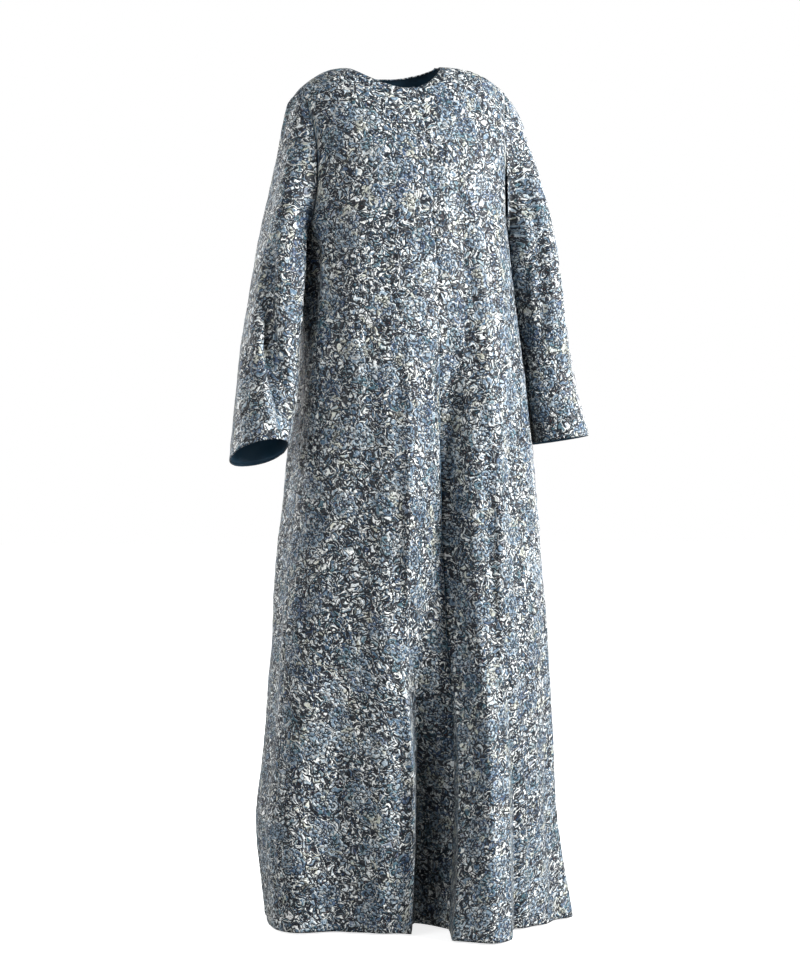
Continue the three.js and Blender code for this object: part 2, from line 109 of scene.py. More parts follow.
sleeveRows = {
    "left": [
        (0, 223, 50, 206, 285, -6, 66, 50, 0),
        (34, 240, 80, 210, 299, -5, 67, 56, 0),
        (110, 262, 152, 214, 318, -5, 68, 60, 0),
        (210, 285, 250, 219, 350, -6, 69, 63, 0),
        (297, 301, 335, 225, 400, -7, 69, 64, 0),
        (383, 316, 420, 232, 458, -8, 69, 65, 0),
        (464, 331, 500, 241, 525, -9, 69, 66, 0),
        (545, 343, 580, 250, 600, -10, 70, 67, 2),
        (617, 361, 650, 258, 664, -10, 72, 70, 4),
    ],
    "right": [
        (0, -189, 70, -160, 285, -6, 66, 48, 0),
        (30, -196, 98, -164, 298, -7, 68, 54, 0),
        (99, -209, 165, -168, 315, -9, 69, 58, 0),
        (192, -229, 255, -170, 345, -14, 70, 60, 0),
        (279, -247, 340, -171.5, 395, -21, 70, 62, 0),
        (361, -263, 420, -174.5, 455, -29, 70, 63, 0),
        (447, -279, 505, -179, 530, -38, 70, 64, 0),
        (538, -290, 595, -187, 605, -49, 70, 66, 10),
        (632, -303, 688, -203, 677, -60, 72, 68, 22),
    ],
}
sleeveForm = {"power": 2.2, "armholeFade": 160, "cuffSetBack": 4, "liningStart": 0.85}
sleeveTroughs = {
    "left": {"reachFrom": 150, "reachTo": 470, "angleFrom": 80, "angleTo": 122, "width": 30, "out": -9},
    "right": {"reachFrom": 330, "reachTo": 600, "angleFrom": 50, "angleTo": 138, "width": 30, "out": -11},
}


def mix(low, high, share):
    return low + (high - low) * share


def clamp(value, low=0.0, high=1.0):
    return min(max(value, low), high)


def smooth(value, low, high):
    if value <= low:
        return 0.0
    t = clamp((value - low) / (high - low)) if high > low else 1.0
    return t * t * (3 - 2 * t)


def signedPower(value, power):
    return math.copysign(abs(value) ** power, value)


def bump(distance, reach):
    return math.cos(distance / reach * math.pi / 2) ** 2 if abs(distance) < reach else 0.0


def curveThrough(rows, column, at):
    i = 0
    while i < len(rows) - 2 and at > rows[i + 1][0]:
        i += 1

    def slope(k):
        low = rows[max(k - 1, 0)]
        high = rows[min(k + 1, len(rows) - 1)]
        return (high[column] - low[column]) / (high[0] - low[0])

    span = rows[i + 1][0] - rows[i][0]
    t = clamp((at - rows[i][0]) / span)
    start = (1 + 2 * t) * (1 - t) ** 2 * rows[i][column]
    end = t * t * (3 - 2 * t) * rows[i + 1][column]
    return start + end + span * t * (1 - t) * ((1 - t) * slope(i) - t * slope(i + 1))


@lru_cache(maxsize=None)
def bodyRow(down):
    return {name: curveThrough(bodyRows, k, down) for k, name in enumerate(bodyColumns)}


@lru_cache(maxsize=None)
def sideSeamAt(down):
    return curveThrough(sideSeamRows, 1, down)


@lru_cache(maxsize=None)
def sleeveRow(side, reach):
    return {name: curveThrough(sleeveRows[side], k, reach) for k, name in enumerate(sleeveColumns)}


@lru_cache(maxsize=None)
def foldsAt(down):
    found = []
    for row in foldRows:
        fold = dict(zip(foldColumns, row))
        grown = smooth(down, fold["start"], fold["full"]) * (1 - smooth(down, fold["ease"], fold["gone"]))
        at = mix(fold["at"], fold["atHem"], smooth(down, fold["full"], gown["hemDown"]))
        found.append((at, fold["reach"], fold["out"] * grown))
    return found


@lru_cache(maxsize=None)
def clothPast(down, past):
    row = bodyRow(down)
    half = row["left"] - row["middle"]
    power = gown["sectionPower"]
    centre = half * signedPower(math.sin(row["twist"] * degree), 2 / power)
    side = row["middle"] - row["right"] if centre + past < 0 else half
    return math.asin(signedPower((centre + past) / side, power / 2)) / degree - row["twist"]


def bodyPoint(turned, down):
    row = bodyRow(down)
    power = gown["sectionPower"]
    turn = (turned + row["twist"]) * degree
    across, ahead = math.sin(turn), math.cos(turn)
    half = row["middle"] - row["right"] if across < 0 else row["left"] - row["middle"]
    depth = row["front"] - gown["sideY"] if ahead > 0 else row["back"] - gown["sideY"]
    x = row["middle"] + half * signedPower(across, 2 / power)
    y = gown["sideY"] + depth * abs(ahead) ** (2 / power)
    outX = signedPower(across, 2 - 2 / power) / half
    outY = abs(ahead) ** (2 - 2 / power) / depth
    size = math.hypot(outX, outY)
    out = 0.0
    for at, reach, push in foldsAt(down):
        out += push * bump((turned - at + 540) % 360 - 180, reach)
    return Vector((x + outX / size * out, y + outY / size * out, -down))


def deepFoldPush(past, down):
    fold = deepFold
    grown = clamp((down - fold["start"]) / (gown["hemDown"] - fold["start"])) ** fold["growth"]
    over = clamp((past - fold["risen"]) / (fold["fall"] - fold["risen"]))
    size = grown * smooth(past, fold["rise"], fold["risen"])
    size *= 1 - smooth(past, fold["fall"], fold["fallen"])
    out = fold["out"] + fold["crown"] * math.sin(over * math.pi)
    lip = fold["lip"] * smooth(down, fold["lipStart"], fold["start"]) * (1 - grown)
    lip *= smooth(past, 0.2, 2.2) * (1 - smooth(past, 5, 22))
    return Vector((mix(fold["sway"], fold["swayFar"], over) * size, -out * size - lip, 0))


def shoulderZ(x):
    left, right = shoulders["left"], shoulders["right"]
    if right["neckX"] <= x <= left["neckX"]:
        return mix(right["neckZ"], left["neckZ"], (x - right["neckX"]) / (left["neckX"] - right["neckX"]))
    side = left if x > 0 else right
    share = (x - side["neckX"]) / (side["tipX"] - side["neckX"])
    return mix(side["neckZ"], side["tipZ"], share ** side["power"])


def neckShare(across):
    side = shoulders["right"] if across < 0 else shoulders["left"]
    return abs(side["neckX"] / side["tipX"])


def neckTurn(across, lowest):
    share = clamp(abs(across) / neckShare(across))
    return 90 - (90 - lowest) * math.sqrt(1 - share * share)


def yokePoint(across, turn, isFront):
    row = bodyRow(gown["underarmDown"])
    up = math.sin(turn * degree)
    side = shoulders["right"] if across < 0 else shoulders["left"]
    half = row["middle"] - row["right"] if across < 0 else row["left"] - row["middle"]
    x = mix(row["middle"], 0, up * up) + mix(half, abs(side["tipX"]), up * up) * across
    power = gown["sectionPower"]
    inset = (1 - min(abs(across), 1) ** power) ** (1 / power)
    depth = ((row["front"] if isFront else row["back"]) - gown["sideY"]) * inset
    rounding = 2 / (yoke["frontRound"] if isFront else yoke["backRound"])
    y = mix(gown["sideY"], yoke["shoulderY"], up * up) + depth * max(math.cos(turn * degree), 0) ** rounding
    return Vector((x, y, mix(-gown["underarmDown"], shoulderZ(x), up ** rounding)))


def armholeDraw(rise):
    return yoke["armholeCurve"] * math.sqrt(max(math.sin(rise * math.pi), 0))


@lru_cache(maxsize=None)
def armholePull(side, angle):
    isFront = angle <= 180
    rise = 1 - angle / 180 if isFront else (angle - 180) / 180
    edge = yokePoint((1 if side == "left" else -1) * (1 - armholeDraw(rise)), 90 * rise, isFront)
    return edge - ringPoint(side, angle, 0)


def ringPoint(side, angle, reach):
    row = sleeveRow(side, reach)
    outer = signedPower(math.cos(angle * degree), 2 / sleeveForm["power"])
    fore = signedPower(math.sin(angle * degree), 2 / sleeveForm["power"])
    x = (row["outX"] + row["inX"]) / 2 + (row["outX"] - row["inX"]) / 2 * outer
    y = row["y"] - (row["front"] if fore > 0 else row["back"]) * fore
    down = (row["outDown"] + row["inDown"]) / 2 + (row["outDown"] - row["inDown"]) / 2 * outer
    return Vector((x, y, row["rise"] * fore - down))


def sleevePoint(side, angle, reach):
    angle = angle % 360
    point = ringPoint(side, angle, reach)
    point += armholePull(side, angle) * (1 - smooth(reach, 0, sleeveForm["armholeFade"]))
    row = sleeveRow(side, reach)
    outward = (point - Vector(((row["outX"] + row["inX"]) / 2, row["y"], point.z))).normalized()
    trough = sleeveTroughs[side]
    share = (reach - trough["reachFrom"]) / (trough["reachTo"] - trough["reachFrom"])
    at = mix(trough["angleFrom"], trough["angleTo"], share)
    return point + outward * (trough["out"] * bump(share - 0.5, 0.5) * bump(angle - at, trough["width"]))


# The columns of the panels, each from its place at the neck or shoulder to its place at the hem.
frontPlaces = {
    "right": {"start": -5, "neck": -21, "seam": -82, "edge": "underlapPast"},
    "left": {"start": 2.3, "neck": 20.8, "seam": 82, "edge": "topFrontPast"},
}


@lru_cache(maxsize=None)
def overlapTop(past):
    side = shoulders["right"] if past < 0 else shoulders["left"]
    row = bodyRow(gown["underarmDown"])
    up = math.sin(yoke["frontNeckTurn"] * degree)
    return past / mix(row["left"] - row["middle"], abs(side["tipX"]), up * up)


def overlapColumn(past):
    return overlapTop(past), lambda down: clothPast(down, past)


def frontColumn(name, place):
    places = frontPlaces[name]
    side = math.copysign(1, places["seam"])
    past = gown[places["edge"]]
    length = places["seam"] - places["start"]
    share, neckAt = (place - places["start"]) / length, (places["neck"] - places["start"]) / length
    neck = neckShare(side)
    if share >= neckAt - 1e-9:
        top = side * mix(neck, 1, clamp((share - neckAt) / (1 - neckAt)))
    else:
        start = math.asin(side * overlapTop(past) / neck)
        top = side * neck * math.sin(mix(start, math.pi / 2, share / neckAt))
    return top, lambda down: mix(clothPast(down, past), side * sideSeamAt(down), share)


def backColumn(share):
    leftEnd, rightStart = 13 / 28, 19 / 28
    if share <= leftEnd + 1e-9:
        top = mix(1, neckShare(1), clamp(share / leftEnd))
    elif share >= rightStart - 1e-9:
        top = -mix(neckShare(-1), 1, clamp((share - rightStart) / (1 - rightStart)))
    else:
        turn = math.cos((share - leftEnd) / (rightStart - leftEnd) * math.pi)
        top = turn * neckShare(turn)
    return top, lambda down: mix(sideSeamAt(down), 360 - sideSeamAt(down), share)


def divided(start, runs):
    places = [start]
    for to, steps in runs:
        first = places[-1]
        places += [mix(first, to, k / steps) for k in range(1, steps + 1)]
    return places


def bodyLevels():
    rises = divided(1, [(0.985, 2), (0.93, 4), (0, 54)])
    downs = divided(gown["underarmDown"], [(1490, 190), (1508, 5)])
    return [(rise, gown["underarmDown"]) for rise in rises[:-1]] + [(0, down) for down in downs]


def columnPoint(column, level, isFront):
    top, clothAt = column
    rise, down = level
    if rise == 0:
        return bodyPoint(clothAt(down), down)
    low = signedPower(math.sin(clothAt(down) * degree), 2 / gown["sectionPower"])
    across = mix(low, top, rise)
    across *= 1 - armholeDraw(rise) * abs(across) ** 3
    atNeck = abs(top) < neckShare(top) - 1e-9
    lowest = yoke["frontNeckTurn"] if isFront else yoke["backNeckTurn"]
    turn = neckTurn(top, lowest) if atNeck else 90
    return yokePoint(across, turn * rise, isFront)


print("form ready")


# Soft creases laid on the cloth. A row goes from x0, y0 to x1, y1, in millimetres round the
# cloth and down it, then has its sideways bow, its width, and how far out it stands, or in if negative.
def creaseOut(rows, x, y):
    out = 0.0
    for x0, y0, x1, y1, bow, width, height in rows:
        alongX, alongY = x1 - x0, y1 - y0
        length = math.hypot(alongX, alongY)
        t = ((x - x0) * alongX + (y - y0) * alongY) / length ** 2
        if 0 < t < 1:
            aside = ((x - x0) * alongY - (y - y0) * alongX) / length - bow * 4 * t * (1 - t)
            spread = width * (0.65 + 0.5 * math.sin(t * math.pi))
            if abs(aside) < spread * 2.4:
                fade = smooth(t, 0, 0.3) * (1 - smooth(t, 0.7, 1))
                out += height * fade * math.exp(-(aside / spread) ** 2)
    return out


# Long folds stand out towards the front and a little to the gown's right.
foldFacing = Vector((-0.22, -0.975, 0))


# How far out a long fold stands at a place on the cloth, by its foot, crest and far foot at that depth.
def longCreaseOut(rows, x, y):
    foot, crest, end, out = [curveThrough(rows, k, y) for k in (1, 2, 3, 4)]
    if x <= foot or x >= end:
        return 0.0
    return out * (smooth(x, foot, crest) if x < crest else 1 - smooth(x, crest, end))


# Where each point lies on the flat cloth: across the grain from an anchor column, and down along it.
def clothLengths(points, anchorRow, anchorColumn, axis=None):
    last = len(points) - 1
    across = []
    for r, row in enumerate(points):
        above, below = points[max(r - 1, 0)], points[min(r + 1, last)]
        grain = [(below[c] - above[c]).normalized() for c in range(len(row))]
        lengths = [0.0]
        for c in range(1, len(row)):
            step = row[c] - row[c - 1]
            along = (grain[c] + grain[c - 1]).normalized()
            lengths.append(lengths[-1] + (step - along * step.dot(along)).length)
        across.append([value - lengths[anchorColumn] for value in lengths])
    down = [[0.0] * len(points[0]) for row in points]
    for c in range(len(points[0])):
        for r in range(1, len(points)):
            down[r][c] = down[r - 1][c] + (points[r][c] - points[r - 1][c]).length
        start = down[anchorRow][c]
        if axis:
            start -= (points[0][c] - points[0][anchorColumn]).dot(axis)
        for r in range(len(points)):
            down[r][c] -= start
    return across, down


def outwardAt(points, r, c, tube):
    rows, columns = len(points), len(points[0])
    if tube and c in (0, columns - 1):
        before, after = points[r][columns - 2], points[r][1]
    else:
        before, after = points[r][max(c - 1, 0)], points[r][min(c + 1, columns - 1)]
    above, below = points[max(r - 1, 0)][c], points[min(r + 1, rows - 1)][c]
    return (above - below).cross(before - after).normalized()


def makeCloth(name, settings, points, materials, insetAt=None, edgeAt=None, tube=False, pushAt=None):
    rows, columns = len(points) - 1, len(points[0]) - 1
    anchorRow, anchorColumn = settings["anchorRow"], settings["anchorColumn"]
    axis = (points[-1][anchorColumn] - points[0][anchorColumn]).normalized() if tube else None
    across, down = clothLengths(points, anchorRow, anchorColumn, axis)
    placed = []
    for r, row in enumerate(points):
        placed.append([])
        for c, point in enumerate(row):
            x, y = across[r][c], down[r][c]
            longOut = sum(longCreaseOut(fold, x, y) for fold in settings.get("longCreases", []))
            crease = creaseOut(settings["creases"], x, y)
            if not tube and y > 0:    # creases die out before the side seams
                crease *= smooth(min(x - across[r][0], across[r][-1] - x), 0, gown["seamFade"])
            point = point + outwardAt(points, r, c, tube) * crease + foldFacing * longOut
            placed[r].append(point + pushAt(r, c) if pushAt else point)
    flatX, flatY = clothLengths(placed, anchorRow, anchorColumn, axis)
    mesh = bpy.data.meshes.new(name)
    bm = bmesh.new()
    bmesh.ops.create_grid(bm, x_segments=columns, y_segments=rows, size=1)
    uvLayer = bm.loops.layers.uv.new("cloth")
    places = {}
    for vert in bm.verts:
        places[vert] = (round((1 - vert.co.y) / 2 * rows), round((vert.co.x + 1) / 2 * columns))
    shiftX, shiftY = settings["patternShift"]
    for face in bm.faces:
        for loop in face.loops:
            r, c = places[loop.vert]
            loop[uvLayer].uv = (flatX[r][c] * mm + shiftX, shiftY - flatY[r][c] * mm)
    for vert, (r, c) in places.items():
        point = points[r][c]
        outward = outwardAt(points, r, c, tube)
        out = noise.noise(point / gown["bumpLength"]) * gown["bumpOut"]
        out += noise.noise(point / 90 + Vector((7, 3, 1))) * settings["waver"]
        if edgeAt:
            out -= edgeAt(points, r, c)
        if insetAt:
            out -= insetAt(r, c)
        vert.co = (placed[r][c] + outward * out) * mm
    if tube:
        bmesh.ops.remove_doubles(bm, verts=bm.verts, dist=1e-6)
    for face in bm.faces:
        face.smooth = True
    bm.to_mesh(mesh)
    bm.free()
    obj = bpy.data.objects.new(name, mesh)
    bpy.context.scene.collection.objects.link(obj)
    for material in materials:
        mesh.materials.append(material)
    shell = obj.modifiers.new("thickness", "SOLIDIFY")
    shell.thickness = settings["thickness"] * mm
    shell.offset = -1
    shell.material_offset = len(materials) - 1
    area = sum(face.area for face in mesh.polygons)
    width = max(row[-1] - row[0] for row in flatX) * mm
    length = (max(flatY[-1]) - min(flatY[0])) * mm
    print(f"{name}: area {area:.4f}, width {width:.3f}, length {length:.3f}")
    return obj


# How far a seam draws the cloth in beside it, by the distance from it.
def seamDraw(distance, along):
    pucker = 0.75 + 0.5 * noise.noise(Vector((along / 22, 5, 2)))
    return gown["seamDepth"] * pucker * math.exp(-(distance / gown["seamWidth"]) ** 2)


def panelEdge(layout, seams, free):
    def edgeAt(points, r, c):
        draw = 0.0
        for edge in seams:
            column = 0 if edge == "first" else len(layout) - 1
            near = (points[r][c] - points[r][column]).length
            if near < 12:
                draw += seamDraw(near, points[r][column].z)
        top, bottom = (points[r][c] - points[0][c]).length, (points[r][c] - points[-1][c]).length
        if top < 12:
            if abs(layout[c][0]) >= neckShare(layout[c][0]) - 1e-9:
                draw += seamDraw(top, points[0][c].x)
            else:
                draw += gown["edgeDepth"] * math.exp(-(top / 2) ** 2)
        if bottom < 12:
            draw += gown["edgeDepth"] * math.exp(-(bottom / 2.5) ** 2)
        if free is not None:
            near = (points[r][c] - points[r][free]).length
            if near < 8:
                draw += 0.5 * math.exp(-(near / 2) ** 2)
        return draw
    return edgeAt


def paint(code):
    channels = [int(code[k:k + 2], 16) / 255 for k in (0, 2, 4)]
    return tuple(v / 12.92 if v <= 0.04045 else ((v + 0.055) / 1.055) ** 2.4 for v in channels) + (1.0,)


def addNode(tree, kind, inputs=None, **settings):
    node = tree.nodes.new(kind)
    for key, value in settings.items():
        setattr(node, key, value)
    for key, value in (inputs or {}).items():
        if isinstance(value, bpy.types.NodeSocket):
            tree.links.new(value, node.inputs[key])
        else:
            node.inputs[key].default_value = value
    return node


def calc(tree, operation, *values):
    return addNode(tree, "ShaderNodeMath", dict(enumerate(values)), operation=operation).outputs[0]


def times(tree, first, second):
    return calc(tree, "MULTIPLY", first, second)


def plus(tree, first, second):
    return calc(tree, "ADD", first, second)


def minus(tree, first, second):
    return calc(tree, "SUBTRACT", first, second)


def greater(tree, value, limit):
    return calc(tree, "GREATER_THAN", value, limit)


def less(tree, value, limit):
    return calc(tree, "LESS_THAN", value, limit)


def vectorCalc(tree, operation, first, second=None, scale=None):
    inputs = {0: first}
    if second is not None:
        inputs[1] = second
    if scale is not None:
        inputs["Scale"] = scale
    return addNode(tree, "ShaderNodeVectorMath", inputs, operation=operation)


def blend(tree, share, low, high, kind="MIX"):
    node = addNode(tree, "ShaderNodeMix", {0: share, 6: low, 7: high}, data_type="RGBA", blend_type=kind)
    return node.outputs[2]


def ranged(tree, value, low, high, toLow=0.0, toHigh=1.0, kind="SMOOTHSTEP"):
    inputs = {"Value": value, "From Min": low, "From Max": high, "To Min": toLow, "To Max": toHigh}
    return addNode(tree, "ShaderNodeMapRange", inputs, interpolation_type=kind).outputs[0]


def ramp(tree, value, stops, kind="LINEAR"):
    node = addNode(tree, "ShaderNodeValToRGB", {0: value})
    node.color_ramp.interpolation = kind
    elements = node.color_ramp.elements
    while len(elements) > 1:
        elements.remove(elements[-1])
    elements[0].position, elements[0].color = stops[0][0], paint(stops[0][1])
    for position, code in stops[1:]:
        elements.new(position).color = paint(code)
    return node.outputs[0]


def voronoi(tree, vector, scale, feature="F1", randomness=1.0):
    inputs = {"Vector": vector, "Scale": scale, "Randomness": randomness}
    return addNode(tree, "ShaderNodeTexVoronoi", inputs, voronoi_dimensions="2D", feature=feature)


def noiseTexture(tree, vector, scale, detail=1.0):
    inputs = {"Vector": vector, "Scale": scale, "Detail": detail}
    return addNode(tree, "ShaderNodeTexNoise", inputs, noise_dimensions="2D").outputs


def split(tree, vector):
    return addNode(tree, "ShaderNodeSeparateXYZ", {0: vector}).outputs


def emptyMaterial(name):
    material = bpy.data.materials.new(name)
    material.use_nodes = True
    material.node_tree.nodes.clear()
    return material, material.node_tree


jacquard = {
    "petalScale": 138.0,
    "petalStretch": 0.55,
    "regionScale": 34.0,
    "outline": 0.2,
    "rosetteScale": 17.0,
    "ringWidth": 0.0072,
    "rings": 3.1,
    "strokeScale": 105.0,
    "strokeRadius": 0.0033,
    "grainScale": 270.0,
    "speckScale": 420.0,
    "tones": [(0.0, "0b1624"), (0.16, "20364c"), (0.34, "4b637a"), (0.6, "7e91a1"), (0.74, "b2c0c8"),
              (0.84, "e5ebed"), (1.0, "fafbfa")],
    "colors": {
        "outline": "070e18", "rim": "d6dcdb", "hatch": "27364a", "teal": "3f6570", "blue": "33496b",
        "cream": "d2d2c0", "stroke": "e6e9e6", "strokeShade": "1b2737",
    },
    "grainTones": [(0.0, "0f1622"), (0.5, "e3e9ea"), (0.68, "a0b1bd"), (0.8, "4f6b82")],
    "speckTones": [(0.0, "dfe3e2"), (0.45, "131c2a"), (0.8, "3d6f7c"), (0.96, "7a4a44")],
    "bareShare": 0.22,    # the share of flower places that stay bare
    "wanderScale": 55.0, "driftScale": 16.0, "patchScale": 24.0, "grainPatchScale": 60.0, "swellScale": 75.0,
    "hatchScale": 3100.0, "regionTurn": 6.283,
    "wander": (0.022, 0.01),    # how far leaves and flowers stray
    "roughness": (0.42, 0.62),
    "puff": 0.0011,
}


fullTurn = 6.2832


def makeJacquard():
    material, tree = emptyMaterial("jacquard")
    colors = jacquard["colors"]
    uv = addNode(tree, "ShaderNodeUVMap", uv_map="cloth").outputs[0]
    wander = noiseTexture(tree, uv, jacquard["wanderScale"], 1.5)["Color"]
    wander = vectorCalc(tree, "SUBTRACT", wander, (0.5, 0.5, 0.5)).outputs[0]
    place, bloomPlace = [
        vectorCalc(tree, "ADD", uv, vectorCalc(tree, "SCALE", wander, scale=far).outputs[0]).outputs[0]
        for far in jacquard["wander"]
    ]

    # Leaves and petals: long cells, turned another way in each small region.
    region = voronoi(tree, place, jacquard["regionScale"])
    regionTone = split(tree, region.outputs["Color"])
    turned = addNode(tree, "ShaderNodeVectorRotate",
                     {"Vector": place, "Angle": times(tree, regionTone[0], jacquard["regionTurn"])},
                     rotation_type="Z_AXIS").outputs[0]
    turned = vectorCalc(tree, "MULTIPLY", turned, (1.0, jacquard["petalStretch"], 1.0)).outputs[0]
    petals = voronoi(tree, turned, jacquard["petalScale"])
    petalTone = split(tree, petals.outputs["Color"])
    petalEdge = voronoi(tree, turned, jacquard["petalScale"], "DISTANCE_TO_EDGE").outputs["Distance"]
    regionEdge = voronoi(tree, place, jacquard["regionScale"], "DISTANCE_TO_EDGE").outputs["Distance"]

    # Rosettes: rings of scalloped petals round scattered centres.
    rosette = voronoi(tree, bloomPlace, jacquard["rosetteScale"], randomness=0.85)
    rosetteTone = split(tree, rosette.outputs["Color"])
    fromCentre = vectorCalc(tree, "SUBTRACT", bloomPlace, rosette.outputs["Position"])
    away = vectorCalc(tree, "LENGTH", fromCentre.outputs[0]).outputs["Value"]
    flat = split(tree, fromCentre.outputs[0])
    angle = calc(tree, "DIVIDE", calc(tree, "ARCTAN2", flat[1], flat[0]), fullTurn)
    angle = plus(tree, angle, rosetteTone[1])
    count = plus(tree, calc(tree, "FLOOR", times(tree, rosetteTone[2], 3.0)), 6.0)
    ringAt = calc(tree, "DIVIDE", away, jacquard["ringWidth"])
    odd = times(tree, calc(tree, "MODULO", calc(tree, "FLOOR", ringAt), 2.0), 0.5)
    petalAt = plus(tree, times(tree, angle, count), odd)
    petalPart = minus(tree, calc(tree, "FRACT", petalAt), 0.5)
    scallop = calc(tree, "COSINE", times(tree, petalPart, fullTurn))
    ringScalloped = times(tree, ringAt, minus(tree, 1.0, times(tree, scallop, 0.11)))
    ringPart = calc(tree, "FRACT", ringScalloped)
    ringLine = times(tree, calc(tree, "PINGPONG", ringScalloped, 0.5), jacquard["ringWidth"])
    sideLine = minus(tree, 0.5, calc(tree, "ABSOLUTE", petalPart))
    sideLine = calc(tree, "DIVIDE", times(tree, times(tree, sideLine, away), fullTurn), count)
    rosetteLine = calc(tree, "MINIMUM", ringLine, sideLine)
    petalRing = {0: calc(tree, "FLOOR", petalAt), 1: calc(tree, "FLOOR", ringScalloped), 2: rosetteTone[0]}
    seed = addNode(tree, "ShaderNodeCombineXYZ", petalRing).outputs[0]
    bloomTone = addNode(tree, "ShaderNodeTexWhiteNoise", {"Vector": seed}, noise_dimensions="3D")
    bloomTone = bloomTone.outputs["Value"]
    isRosette = ranged(tree, ringScalloped, jacquard["rings"], jacquard["rings"] - 0.02, kind="LINEAR")
    isRosette = times(tree, isRosette, greater(tree, rosetteTone[0], jacquard["bareShare"]))
    notRosette = minus(tree, 1.0, isRosette)

    # Tones, shifted lighter or darker over wide patches.
    drift = noiseTexture(tree, uv, jacquard["driftScale"], 2.0)["Fac"]
    drift = times(tree, minus(tree, drift, 0.5), 0.4)
    leafTone = plus(tree, petalTone[0], drift)
    shaded = times(tree, minus(tree, ringPart, 0.6), 0.35)
    flowerTone = plus(tree, times(tree, rosetteTone[2], 0.3), 0.22)
    bloom = plus(tree, plus(tree, times(tree, bloomTone, 0.34), flowerTone), shaded)
    tone = plus(tree, times(tree, leafTone, notRosette),
                times(tree, plus(tree, bloom, times(tree, drift, 0.4)), isRosette))
    threads = voronoi(tree, uv, jacquard["speckScale"])
    threadTone = split(tree, threads.outputs["Color"])
    tone = plus(tree, tone, times(tree, minus(tree, threadTone[2], 0.5), 0.3))
    color = ramp(tree, tone, jacquard["tones"])

    # Fine hatching on some of the leaves, and stray coloured threads.
    hatch = calc(tree, "SINE", times(tree, split(tree, turned)[0], jacquard["hatchScale"]))
    hatched = times(tree, ranged(tree, hatch, 0.35, 0.75), greater(tree, petalTone[1], 0.62))
    hatched = times(tree, hatched, notRosette)
    color = blend(tree, times(tree, hatched, 0.55), color, paint(colors["hatch"]))
    patch = split(tree, noiseTexture(tree, uv, jacquard["patchScale"])["Color"])
    teal = times(tree, ranged(tree, patch[0], 0.56, 0.6), greater(tree, petalTone[2], 0.5))
    blue = times(tree, ranged(tree, patch[1], 0.57, 0.61), less(tree, petalTone[2], 0.45))
    cream = times(tree, ranged(tree, patch[2], 0.6, 0.62), greater(tree, petalTone[1], 0.55))
    color = blend(tree, times(tree, teal, 0.7), color, paint(colors["teal"]))
    color = blend(tree, times(tree, blue, 0.7), color, paint(colors["blue"]))
    color = blend(tree, times(tree, cream, 0.7), color, paint(colors["cream"]))

    # A light rim along one side of each leaf, and clusters of small light and dark grains.
    leafSide = minus(tree, split(tree, turned)[0], split(tree, petals.outputs["Position"])[0])
    rim = times(tree, ranged(tree, petalEdge, 0.1, 0.14), ranged(tree, petalEdge, 0.25, 0.2))
    rim = times(tree, rim, greater(tree, leafSide, 0.0007))
    rim = times(tree, rim, notRosette)
    color = blend(tree, times(tree, rim, 0.75), color, paint(colors["rim"]))
    grain = voronoi(tree, place, jacquard["grainScale"])
    grainTone = split(tree, grain.outputs["Color"])
    grainPatch = noiseTexture(tree, uv, jacquard["grainPatchScale"])["Fac"]
    onGrain = times(tree, ranged(tree, grainPatch, 0.44, 0.49), less(tree, grain.outputs["Distance"], 0.6))
    onGrain = times(tree, onGrain, greater(tree, grainTone[0], 0.3))
    calm = minus(tree, 1.0, times(tree, isRosette, 0.5))
    onGrain = times(tree, onGrain, calm)
    grainColor = ramp(tree, grainTone[1], jacquard["grainTones"], "CONSTANT")
    color = blend(tree, times(tree, onGrain, 0.95), color, grainColor)

    # Dark outlines round leaves, regions and rosette petals.
    leafLine = ranged(tree, petalEdge, jacquard["outline"], jacquard["outline"] * 0.6)
    regionLine = ranged(tree, regionEdge, 0.055, 0.028)
    leafLine = times(tree, calc(tree, "MAXIMUM", leafLine, regionLine), notRosette)
    bloomLine = times(tree, ranged(tree, rosetteLine, 0.0014, 0.0006), isRosette)
    line = calc(tree, "MAXIMUM", leafLine, bloomLine)
    color = blend(tree, times(tree, line, 0.96), color, paint(colors["outline"]))

    # Short curved white strokes, and small specks.
    stroke = voronoi(tree, place, jacquard["strokeScale"])
    strokeTone = split(tree, stroke.outputs["Color"])
    arm = vectorCalc(tree, "SUBTRACT", place, stroke.outputs["Position"])
    armFlat = split(tree, arm.outputs[0])
    armAway = vectorCalc(tree, "LENGTH", arm.outputs[0]).outputs["Value"]
    armAngle = plus(tree, calc(tree, "DIVIDE", calc(tree, "ARCTAN2", armFlat[1], armFlat[0]), fullTurn),
                    strokeTone[0])
    armAngle = calc(tree, "ABSOLUTE", minus(tree, calc(tree, "FRACT", armAngle), 0.5))
    thick = ranged(tree, armAngle, 0.0, 0.24, 0.0013, 0.0003, "LINEAR")
    offRing = calc(tree, "ABSOLUTE", minus(tree, armAway, jacquard["strokeRadius"]))
    onStroke = less(tree, offRing, thick)
    onStroke = times(tree, onStroke, less(tree, armAngle, 0.24))
    onStroke = times(tree, onStroke, greater(tree, strokeTone[1], 0.42))
    onStroke = times(tree, onStroke, calm)
    nearStroke = less(tree, offRing, plus(tree, thick, 0.0009))
    nearStroke = times(tree, nearStroke, less(tree, armAngle, 0.27))
    nearStroke = times(tree, nearStroke, greater(tree, strokeTone[1], 0.42))
    nearStroke = times(tree, nearStroke, calm)
    color = blend(tree, times(tree, nearStroke, 0.8), color, paint(colors["strokeShade"]))
    color = blend(tree, onStroke, color, paint(colors["stroke"]))
    onSpeck = times(tree, less(tree, threads.outputs["Distance"], 0.32), greater(tree, threadTone[0], 0.7))
    speckColor = ramp(tree, threadTone[1], jacquard["speckTones"], "CONSTANT")
    color = blend(tree, times(tree, onSpeck, 0.75), color, speckColor)

